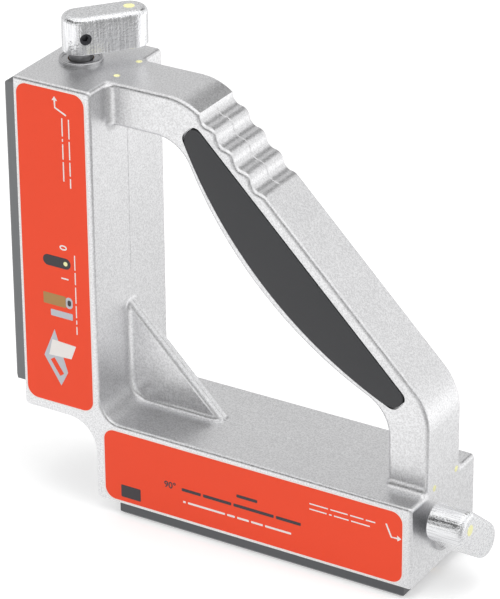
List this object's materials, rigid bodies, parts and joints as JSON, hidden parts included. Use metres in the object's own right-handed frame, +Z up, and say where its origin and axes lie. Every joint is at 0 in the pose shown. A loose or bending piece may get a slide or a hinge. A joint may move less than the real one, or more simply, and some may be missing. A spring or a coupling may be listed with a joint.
{
  "type": "right-angle holding magnet",
  "caption": "L-shaped cast magnet with a looped handle and a switch knob on each leg, holding two steel plates square.",
  "frame": {"origin": "centre of the base leg's pole face, the face that rests on the work", "axes": "+X along the base leg towards its knob, +Y from the label side to the rear, +Z up along the upright leg"},
  "size_m": [0.1713, 0.044, 0.1713],
  "materials": {
    "cast_body": "shot-blasted satin die casting",
    "grip_black": "satin moulded rubber",
    "label_orange": "printed plate, semi-gloss",
    "pole_steel": "ground steel",
    "spacer_brass": "ground",
    "screw_steel": "black oxide",
    "core_steel": "turned",
    "magnet_nickel": "nickel plated",
    "bush_bronze": "sintered",
    "washer_nylon": "moulded",
    "seal_rubber": "moulded",
    "seat_steel": "turned",
    "knob_bright": "polished, plated"
  },
  "bodies": {
    "frame": {"base_bearing_bush": "bush_bronze", "base_label": "label_orange", "base_pole_screws": "screw_steel", "base_pole_shoe_front": "pole_steel", "base_pole_shoe_rear": "pole_steel", "base_pole_spacers": "spacer_brass", "base_seat_ring": "seat_steel", "base_stop_pin": "screw_steel", "base_tail_bush": "bush_bronze", "body_casting": "cast_body", "grip_insert_front": "grip_black", "grip_insert_rear": "grip_black", "upright_bearing_bush": "bush_bronze", "upright_label": "label_orange", "upright_pole_screws": "screw_steel", "upright_pole_shoe_front": "pole_steel", "upright_pole_shoe_rear": "pole_steel", "upright_pole_spacers": "spacer_brass", "upright_seat_ring": "seat_steel", "upright_stop_pin": "screw_steel", "upright_tail_bush": "bush_bronze"},
    "upright_rotor": {"upright_rotor_halves": "core_steel", "upright_rotor_magnets": "magnet_nickel", "upright_spindle": "core_steel", "upright_tail_pin": "core_steel", "upright_thrust_washer": "washer_nylon", "upright_o_ring": "seal_rubber", "upright_knob": "knob_bright", "upright_grub_screw": "screw_steel"},
    "base_rotor": {"base_rotor_halves": "core_steel", "base_rotor_magnets": "magnet_nickel", "base_spindle": "core_steel", "base_tail_pin": "core_steel", "base_thrust_washer": "washer_nylon", "base_o_ring": "seal_rubber", "base_knob": "knob_bright", "base_grub_screw": "screw_steel"}
  },
  "joints": [
    {"name": "upright_switch", "type": "hinge", "parent": "frame", "child": "upright_rotor", "pos_m": [-0.0796, 0, 0.1545], "axis": [0, 0, -1], "range_deg": [0, 102]},
    {"name": "base_switch", "type": "hinge", "parent": "frame", "child": "base_rotor", "pos_m": [0.058, 0, 0.0169], "axis": [-1, 0, 0], "range_deg": [0, 102]}
  ]
}
